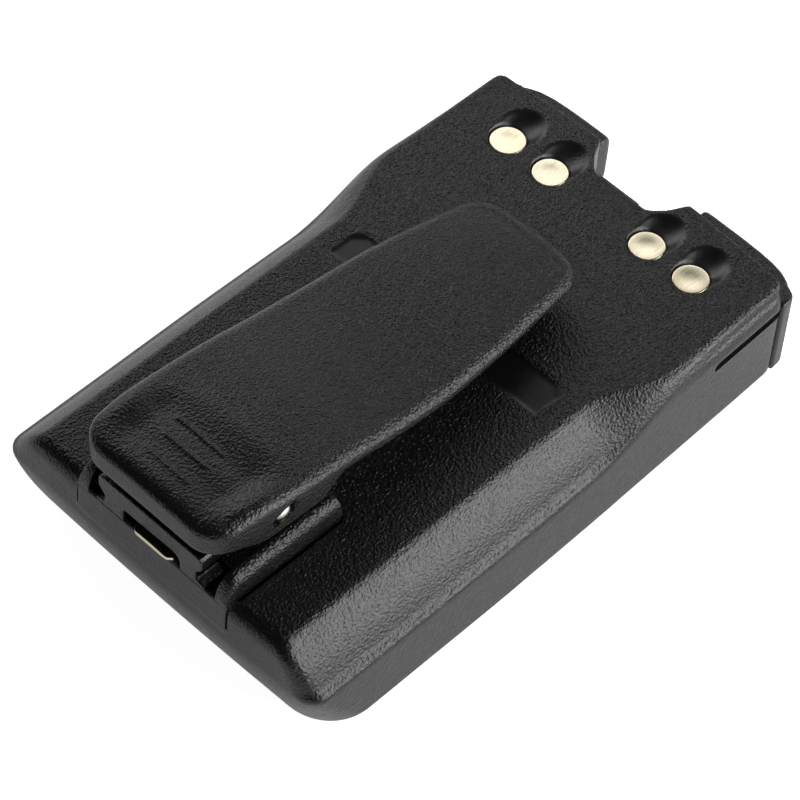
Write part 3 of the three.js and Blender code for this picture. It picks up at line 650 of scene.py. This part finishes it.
def build_lever():
    """The belt clip: crowned top, rounded edge all round, side walls, a hollow and the tooth."""
    columns = 64
    rows = len(lever_sides(EDGE))
    shares = steps(-1, 1, columns)
    points, faces = [], []
    for z_of, inset in ((lever_top, EDGE), (lambda x, y: lever_low(y), 0.3)):
        for x, y in lever_sides(inset):
            points += [(x * s, y, z_of(x * s, y)) for s in shares]
    wide = columns + 1
    size = rows * wide

    def around(first):
        """The border of a grid of points, in order."""
        border = [first + c for c in range(columns)]
        border += [first + r * wide + columns for r in range(rows - 1)]
        border += [first + (rows - 1) * wide + c for c in range(columns, 0, -1)]
        return border + [first + r * wide for r in range(rows - 1, 0, -1)]

    for first in (0, size):
        for r in range(rows - 1):
            for c in range(columns):
                a = first + r * wide + c
                faces.append((a, a + 1, a + wide + 1, a + wide))
    top_border, low_border = around(0), around(size)
    previous = top_border
    quarter = steps(0, math.pi / 2, 9)[1:]
    levels = [(EDGE * (1 - math.sin(a)), 1 - math.cos(a), None) for a in quarter]
    levels += [(0, 0, 0.6), (0, 0, 0.3), (0.08, 0, 0.1)]
    for inset, drop, rise in levels:
        right = lever_sides(inset)
        start = len(points)
        places = [(right[0][0] * s, right[0][1]) for s in shares[:-1]]
        places += right[:-1]
        places += [(right[-1][0] * s, right[-1][1]) for s in reversed(shares[1:])]
        places += [(-x, y) for x, y in reversed(right[1:])]
        for (x, y), above in zip(places, top_border):
            top = points[above][2]
            low = lever_low(y)
            room = min(EDGE_DROP, 0.7 * (top - low))
            z = top - room * drop if rise is None else low + rise * 0.8 * (top - room - low)
            points.append((x, y, z))
        ring = list(range(start, len(points)))
        for i in range(len(ring)):
            j = (i + 1) % len(ring)
            faces.append((previous[i], previous[j], ring[j], ring[i]))
        previous = ring
    for i in range(len(previous)):
        j = (i + 1) % len(previous)
        faces.append((previous[i], previous[j], low_border[j], low_border[i]))
    lever = make("clip_lever_skin", points, faces)

    rings = []
    for y in (THUMB_END + 1.6, -46.5, -45, -43, -41, -39, -37, -35, -33, -31, -29.5, -28, -27.2):
        half = lever_half(y) - 1.6 - 2.2 * clamp((-46.4 - y) / 1.2) ** 2
        roof = min(29.1, along(LEVER_LINE, y, 1) - 1.7)
        right = [(0, y, 20), (half, y, 20), (half, y, roof)]
        rings.append(right + [(0, y, roof), (-half, y, roof), (-half, y, 20)])
    cutters = [loft("hollow", rings)]
    cutters.append(rod_x("bore", PIN_Y, PIN_Z, PIN_BORE, -20, 20))
    for side in (-1, 1):
        outline = []
        ends = ((PIN_Y - 0.9, PIN_Z, 90, 270), (PIN_Y + 1.3, PIN_Z + 0.88, -90, 90))
        for y, z, first, last in ends:
            for turn in steps(math.radians(first), math.radians(last), 12):
                outline.append((y + 1.05 * math.cos(turn), z + 1.05 * math.sin(turn)))
        cutters.append(side_prism("oval", outline, side * 12.2, side * 15))
    cut(lever, *cutters)
    tooth = [
        (15.6, 23), (18.6, 23), (18.3, 19.5), (18.1, 19.05), (17.75, 18.82), (17.4, 18.85),
        (17.1, 19.05), (16.9, 19.4),
    ]
    join(lever, side_prism("tooth", tooth, -7.8, 7.8))

    def worn(x, y, z):
        """The thumb dish is half smooth."""
        reach = np.clip(1.35 - np.hypot(x / 11.5, (y + 41) / 9.5), 0, 1)
        return 1 - 0.5 * np.clip(reach / 0.5, 0, 1)

    paint_grain(lever, worn)
    finish_piece(lever, "clip_lever", PLASTIC, ["clip_lever"], 38)


# ---------------------------------------------------------------- smaller pieces
def build_front_shell():
    """The radio-facing cover, with two hooks past the contact end and a tongue in the notch."""
    outline = housing_ring(("band", 0.07, 0), 2.1)
    cover = loft("front_shell_skin", [[(x, y, z) for x, y, _ in outline] for z in (0, 2)])
    added = [
        box("sill", (-24.5, 40, 0), (24.5, 46.1, 2)),
        box("bridge", (-20.6, 44.95, 0), (20.6, 46.5, 5)),
        box("tongue_foot", (-6.4, 42, 0), (6.4, 45.15, 5)),
    ]
    tongue = [(4.2, 39.9), (5.0, 40.1), (6.5, 41.9), (7.4, 43.75)]
    for right, high in ((True, 10.5), (False, 11.7)):
        side = [(x, y) for x, y in tongue] + [(0.4, 43.75), (0.4, 39.9)]
        if not right:
            side = [(-x, y) for x, y in tongue] + [(0.5, 43.75), (0.5, 39.9)]
        added.append(prism("tongue", side, 0, high))
    root, tip = 44.95, 49.15
    corner = [
        (14.5, tip), (18, 49.05), (20.5, 48.8), (22.5, 48.35), (24, 47.6),
        (25.2, 46.7), (26.1, 45.9), (26.7, 45.2), (26.8, root),
    ]
    levels = [
        (46.0, 0), (46.5, 0.5), (46.5, 2.8), (48.95, 4.8), (tip, 10.8),
        (49.13, 11.6), (49.0, 12.2), (48.75, 12.7), (48.4, 12.95), (48.1, 13),
    ]
    for side, inner in ((1, 8.0), (-1, 9.9)):
        start = [(inner, root), (inner, 48.75), (inner + 0.12, 49.03), (inner + 0.4, tip)]
        rings = []
        for reach, z in levels:
            share = (reach - root) / 4.2
            rings.append([(side * x, root + (y - root) * share, z) for x, y in start + corner])
        added.append(skin("hook", rings))
        rings = []
        for share in (0.01, 0.06, 0.5, 0.88):
            x, z = side_point(("band", share, 0), 42.6)
            x -= 0.05
            corner_line = [
                (24.4, 42.6), (x, 42.6), (x - 0.3, 45.0), (x - 0.8, 45.55),
                (x - 1.7, 46.0), (24.4, 46.4),
            ]
            rings.append([(side * px, py, z) for px, py in corner_line])
        added.append(skin("cheek", rings))
    join(cover, *added)
    cuts = [box("label_seat", (-16, -34, -1), (16, 12, 0.35))]
    for x in (-8, 0, 8):
        cuts.append(box("window", (x - 2.5, 30, -1), (x + 2.5, 36.2, 3)))
    for x in (-22.2, 22.2):
        for y in (-28, 14):
            cuts.append(box("pocket", (x - 1.6, y - 5, -1), (x + 1.6, y + 5, 1.1)))
    cut(cover, *cuts)
    soften(cover, COVER_VOXEL, 3)
    paint_grain(cover, lambda x, y, z: np.where((z > 2.5) & (y < 44.5), 0.15, 0.8))
    finish_piece(cover, "pack", PLASTIC, ["front_shell"])


RAIL_IN, RAIL_OUT, RAIL_TOP = 11.5, 13.5, 22.3
INSERT_BACK = -27.6


def rail_ring(side, y, high):
    """The rail's rounded section at one place along it."""
    low = 17.9
    inner, outer = (min(r, 0.9 * (high - low)) for r in (0.45, 1.5))
    points = [(RAIL_IN, low)]
    for turn in steps(math.pi, math.pi / 2, 5):
        x = RAIL_IN + inner + inner * math.cos(turn)
        points.append((x, high - inner + inner * math.sin(turn)))
    for turn in steps(math.pi / 2, 0, 12):
        x = RAIL_OUT - outer + outer * math.cos(turn)
        points.append((x, high - outer + outer * math.sin(turn)))
    points.append((RAIL_OUT, low))
    return [(side * x, y, z) for x, z in points]


def build_bracket():
    """The insert with the two rounded rails and the lips that hold the clip base down."""
    bracket = box("rail_bracket_skin", (-RAIL_OUT, -46.6, 17.3), (RAIL_OUT, INSERT_BACK, 18.4))
    added = [box("stop", (-RAIL_OUT, -28.55, 18.2), (RAIL_OUT, INSERT_BACK, 20.2))]
    for side in (-1, 1):
        rings = []
        for turn in steps(0.08, math.pi / 2, 16):
            rings.append(rail_ring(side, -45.1 - 2.8 * math.cos(turn), 18.4 + 3.9 * math.sin(turn)))
        for y in steps(-44, -28.4, 8) + steps(-28.3, -27.62, 5):
            drop = 0.8 * (1 - math.sqrt(1 - clamp((y + 28.4) / 0.8) ** 2))
            rings.append(rail_ring(side, y, RAIL_TOP - drop))
        added.append(skin("rail", rings))
        left, right = sorted((side * 8.6, side * 11.7))
        added.append(box("lip", (left, -44, 19.7), (right, INSERT_BACK, 20.45)))
    for tool in added:
        join(bracket, tool)
    soften(bracket, INSERT_VOXEL, 3)
    paint_grain(bracket)
    finish_piece(bracket, "pack", PLASTIC, ["clip_rail_bracket"])


def build_base():
    """The sliding plate: foot, waist, upper tray with the slot of the latch leaf, and two ears."""
    half = [
        (0, 18.7), (9.75, 18.7), (9.8, 19.1), (8.3, 19.55), (8.25, 19.9),
        (8.25, 20.85), (8.5, 21.15), (9.25, 21.95), (9.35, 22.3), (9.35, 23.3),
        (9.25, 23.75), (8.95, 24.1), (8.5, 24.2), (0, 24.2),
    ]
    outline = half + [(-x, z) for x, z in reversed(half[1:-1])]
    rings = [[(x * share, y, z) for x, z in outline] for y, share in ((-48.15, 1), (-28.85, 1))]
    base = skin("clip_base_skin", rings)
    slot = [(-4.9, 10), (-4.9, 20.5), (-4.75, 20.85), (-4.4, 21.05)]
    for turn in steps(math.pi / 2, 0, 6):
        slot.append((4.1 + 1.35 * math.cos(turn), 19.8 + 1.35 * math.sin(turn)))
    slot.append((5.45, 10))
    tools = [
        box("tray", (-7.5, -46.55, 22.6), (7.5, -23.85, 30)),
        skin("slot", [[(x, y, z) for x, z in slot] for y in (-50, -33.6)]),
    ]
    cut(base, *tools)
    ear = [(PIN_Y - 3.2, 23.7)]
    for a in steps(-0.15, math.pi + 0.15, 14):
        ear.append((PIN_Y - 1.45 * math.cos(a), PIN_Z + 1.45 * math.sin(a)))
    ear.append((PIN_Y + 3.2, 23.7))
    for x in (-9.1, 7.5):
        join(base, side_prism("ear", ear, x, x + 1.6))
    cut(base, rod_x("bore", PIN_Y, PIN_Z, PIN_BORE, -20, 20))
    soften(base, BASE_VOXEL, 2)
    paint_grain(base, lambda x, y, z: np.where(y < -47.6, 0.7, 0.4))
    finish_piece(base, "clip_carriage", PLASTIC, ["clip_base"])


def build_contacts():
    """The four gold discs, slightly dished, each with a rounded rim and a short stem."""
    top = outer_top(CONTACT_Y) - 0.5
    r = CONTACT_RADIUS + 0.07
    profile = [(0, top - 0.06), (0.6, top - 0.055), (1.2, top - 0.03), (1.8, top), (r - 0.3, top)]
    for turn in steps(0, math.pi / 2, 5):
        profile.append((r - 0.22 + 0.22 * math.sin(turn), top - 0.22 + 0.22 * math.cos(turn)))
    profile += [(r, top - 0.7), (1, top - 0.7), (1, 15.0), (0, 15.0)]
    for i, x in enumerate(CONTACT_XS):
        disc = lathe(f"charging_disc_{i + 1}", profile, x, CONTACT_Y, 72)
        finish_piece(disc, "pack", GOLD, [f"charging_contact_{i + 1}"], 50)


def build_pin():
    """The pivot pin, turned upright and then laid along X, with its domed ends drawn out."""
    profile = [(0, -12.9)]
    for turn in steps(0, math.pi / 2, 10)[1:]:
        profile.append((math.sin(turn), -12.15 - 0.75 * math.cos(turn)))
    profile += [(r, -z) for r, z in reversed(profile)]
    pin = lathe("pivot_pin_rod", profile, 0, 0, 48)
    for v in pin.data.vertices:
        head = smooth((abs(v.co.z) - 11.4) / 0.5)
        v.co = Vector((v.co.z, v.co.x * (1 + 0.3 * head) + 0.3 * head + PIN_Y, v.co.y + PIN_Z))
    finish_piece(pin, "clip_carriage", PIN_METAL, ["clip_pivot_pin"], 60)


def build_leaf():
    """The gold latch leaf, its front edge thickest in the middle and drawn back at both ends."""
    low = 18.85
    points, faces = [], []
    across = steps(-4.1, 4.1, 40)
    lengthwise = [-48.45, -48.2, -47.9, -47.4, -46.8] + steps(-45.5, -34.3, 8)
    for thick in (0, 0.4):
        for y in lengthwise:
            front = smooth((-44 - y) / 4.4)
            for x in across:
                rise = 0.3 * smooth((x - 2.4) / 1.7) + 0.1 * smooth((-x - 3) / 1.1) - 0.12
                back = 1.6 * smooth((-x - 1.9) / 1.8) ** 2 + 0.5 * smooth((x - 3.2) / 0.9) ** 2
                lip = thick * (1 + 0.7 * front * math.cos(0.36 * x))
                points.append((x, y + back * smooth((-46 - y) / 2), low + lip + rise * front))
    wide, size = len(across), len(across) * len(lengthwise)
    for first in (0, size):
        for r in range(len(lengthwise) - 1):
            for c in range(wide - 1):
                a = first + r * wide + c
                faces.append((a, a + 1, a + wide + 1, a + wide))
    last = (len(lengthwise) - 1) * wide
    for c in range(wide - 1):
        faces.append((c, c + 1, c + 1 + size, c + size))
        faces.append((last + c, last + c + 1, last + c + 1 + size, last + c + size))
    for r in range(len(lengthwise) - 1):
        for c in (0, wide - 1):
            a = r * wide + c
            faces.append((a, a + wide, a + wide + size, a + size))
    leaf = make("latch_leaf_strip", points, faces)
    bevel = leaf.modifiers.new("bevel", "BEVEL")
    bevel.width = 0.06
    bevel.segments = 2
    bevel.angle_limit = math.radians(50)
    settle(leaf)
    finish_piece(leaf, "clip_latch", GOLD, ["clip_latch_leaf"], 50)


def build_spring():
    """Two legs and a coil round the pivot pin, one round wire."""
    mean, turns, pitch = 1.3, 4.5, 0.75
    start = -turns * pitch / 2
    path = [(start, PIN_Y - 7.5, PIN_Z - 0.1), (start, PIN_Y - 3.5, PIN_Z + mean - 0.35)]
    for i in range(int(turns * 24) + 1):
        a = math.pi / 2 - i / 24 * 2 * math.pi
        y, z = PIN_Y + mean * math.cos(a), PIN_Z + mean * math.sin(a)
        path.append((start + pitch * i / 24, y, z))
    path += [(-start, PIN_Y - 3, PIN_Z - 2.6), (-start, PIN_Y - 6, 23.2)]
    wire = bpy.data.curves.new("spring", "CURVE")
    wire.dimensions = "3D"
    wire.bevel_depth = 0.22
    wire.bevel_resolution = 3
    wire.use_fill_caps = True
    line = wire.splines.new("POLY")
    line.points.add(len(path) - 1)
    for point, place in zip(line.points, path):
        point.co = (*place, 1)
    drawn = bpy.data.objects.new("spring", wire)
    bpy.context.scene.collection.objects.link(drawn)
    graph = bpy.context.evaluated_depsgraph_get()
    mesh = bpy.data.meshes.new_from_object(drawn.evaluated_get(graph))
    made = bpy.data.objects.new("torsion_spring_wire", mesh)
    bpy.context.scene.collection.objects.link(made)
    bpy.data.objects.remove(drawn)
    finish_piece(made, "clip_carriage", STEEL, ["clip_torsion_spring"], 60)


def finish_inner_nodes():
    """The CAD pieces that stay as they are get their own finishes."""
    finishes = {
        "radio_contact_": GOLD, "cell_tray": INNER, "cell_": CAN, "insulator_card": CARD,
        "link_strip": NICKEL, "positive_strip": NICKEL, "negative_strip": NICKEL,
        "protection_board": BOARD, "contact_board": BOARD, "protection_": COMPONENT,
        "board_header": COMPONENT, "thermistor": COMPONENT, "thermal_fuse": INNER,
        "rating_label": LABEL,
    }
    for name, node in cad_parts.items():
        for start, material in finishes.items():
            if name.startswith(start):
                node.data.materials.clear()
                node.data.materials.append(material)
                break


# ---------------------------------------------------------------- stage
AZIMUTH, ELEVATION, ROLL = 40.69, 51.86, 4.87  # degrees
LENS, TARGET, DISTANCE = 178.375, (-4.05, 2.15, 0), 0.5355  # the distance is in metres
FLOOR_GLOW, REFLECTED_GLOW = 0.95, 0.36
STUDIO_GLOW, BACKDROP_GLOW = 0.05, 0.95
# (name, place, direction from what it lights, width, height, radiance)
SOFTBOXES = [
    ("over_head", (-0.14, 0.25, 0.205), (-0.05, 0.05, 1), 0.42, 0.2, 1.35),
    ("left", (-0.8, 0.25, 0.42), (-0.8, 0.25, 0.42), 0.6, 0.4, 1.6),
    ("right_back", (0.75, 0.45, 0.25), (0.75, 0.45, 0.25), 0.9, 0.42, 6.2),
    ("right_high", (0.54, 0.42, 0.58), (0.54, 0.42, 0.58), 0.45, 0.4, 4.0),
]


def build_camera():
    """A long lens, turned to the side and above, with a slight roll."""
    azimuth, elevation, roll = (math.radians(a) for a in (AZIMUTH, ELEVATION, ROLL))
    back = Vector((
        math.sin(azimuth) * math.cos(elevation),
        -math.cos(azimuth) * math.cos(elevation),
        math.sin(elevation),
    ))
    level = Vector((math.cos(azimuth), math.sin(azimuth), 0))
    upright = back.cross(level)
    right = level * math.cos(roll) + upright * math.sin(roll)
    up = upright * math.cos(roll) - level * math.sin(roll)
    lens = bpy.data.cameras.new("camera")
    lens.lens = LENS
    lens.sensor_width = 36
    lens.clip_start, lens.clip_end = 0.02, 20
    camera = bpy.data.objects.new("camera", lens)
    bpy.context.scene.collection.objects.link(camera)
    turn = Matrix((right, up, back)).transposed().to_4x4()
    target = Vector(TARGET) * MM
    camera.matrix_world = Matrix.Translation(target + back * DISTANCE) @ turn
    bpy.context.scene.camera = camera


def softbox(name, place, facing, width, height, radiance):
    """A soft lamp in metres; facing points from what it lights back to the lamp."""
    lamp = bpy.data.lights.new(name, "AREA")
    lamp.shape = "RECTANGLE"
    lamp.size, lamp.size_y = width, height
    lamp.energy = radiance * math.pi * width * height
    made = bpy.data.objects.new(name, lamp)
    bpy.context.scene.collection.objects.link(made)
    made.location = place
    made.rotation_mode = "QUATERNION"
    made.rotation_quaternion = Vector(facing).to_track_quat("Z", "Y")
    made.visible_camera = False


def build_stage():
    """The pale floor, a dim studio round it and four soft lamps."""
    material, tree, shader = nodes_of("floor")
    w = Wiring(tree)
    tint = w.ramp(w.noise(14.0, 2.0, 0.5), (0.3, (0.86, 0.86, 0.86)), (0.7, (0.89, 0.89, 0.89)))
    tree.links.new(tint, shader.inputs["Base Color"])
    shader.inputs["Roughness"].default_value = 0.9
    shader.inputs["Specular IOR Level"].default_value = 0.1
    shader.inputs["Emission Color"].default_value = (1, 1, 1, 1)
    shader.inputs["Emission Strength"].default_value = FLOOR_GLOW
    floor = make("floor", [(-4, -4, 0), (4, -4, 0), (4, 4, 0), (-4, 4, 0)], [(0, 1, 2, 3)])
    floor.data.materials.append(material)
    floor.location.z = -0.0001
    # What the glossy plastic sees of the floor is a little darker than the bright floor itself.
    mirrored = bpy.data.objects.new("floor_reflected", floor.data.copy())
    bpy.context.scene.collection.objects.link(mirrored)
    mirrored.data.materials[0] = material.copy()
    reflected = mirrored.data.materials[0].node_tree.nodes["Principled BSDF"]
    reflected.inputs["Emission Strength"].default_value = REFLECTED_GLOW
    mirrored.location.z = -0.00005
    mirrored.visible_camera = mirrored.visible_diffuse = mirrored.visible_shadow = False
    floor.visible_glossy = False
    world = bpy.data.worlds.new("studio")
    bpy.context.scene.world = world
    world.use_nodes = True
    links = world.node_tree.links
    seen = world.node_tree.nodes.new("ShaderNodeLightPath")
    tone = world.node_tree.nodes.new("ShaderNodeMapRange")
    links.new(seen.outputs["Is Camera Ray"], tone.inputs[0])
    tone.inputs[3].default_value = STUDIO_GLOW
    tone.inputs[4].default_value = BACKDROP_GLOW
    background = world.node_tree.nodes["Background"]
    links.new(tone.outputs[0], background.inputs["Strength"])
    background.inputs["Color"].default_value = (1, 1, 1, 1)
    for lamp in SOFTBOXES:
        softbox(*lamp)
    bpy.context.scene.view_settings.view_transform = "Standard"


build_camera()
build_back_shell()
build_front_shell()
build_bracket()
build_base()
build_lever()
build_contacts()
build_pin()
build_leaf()
build_spring()
finish_inner_nodes()
build_stage()
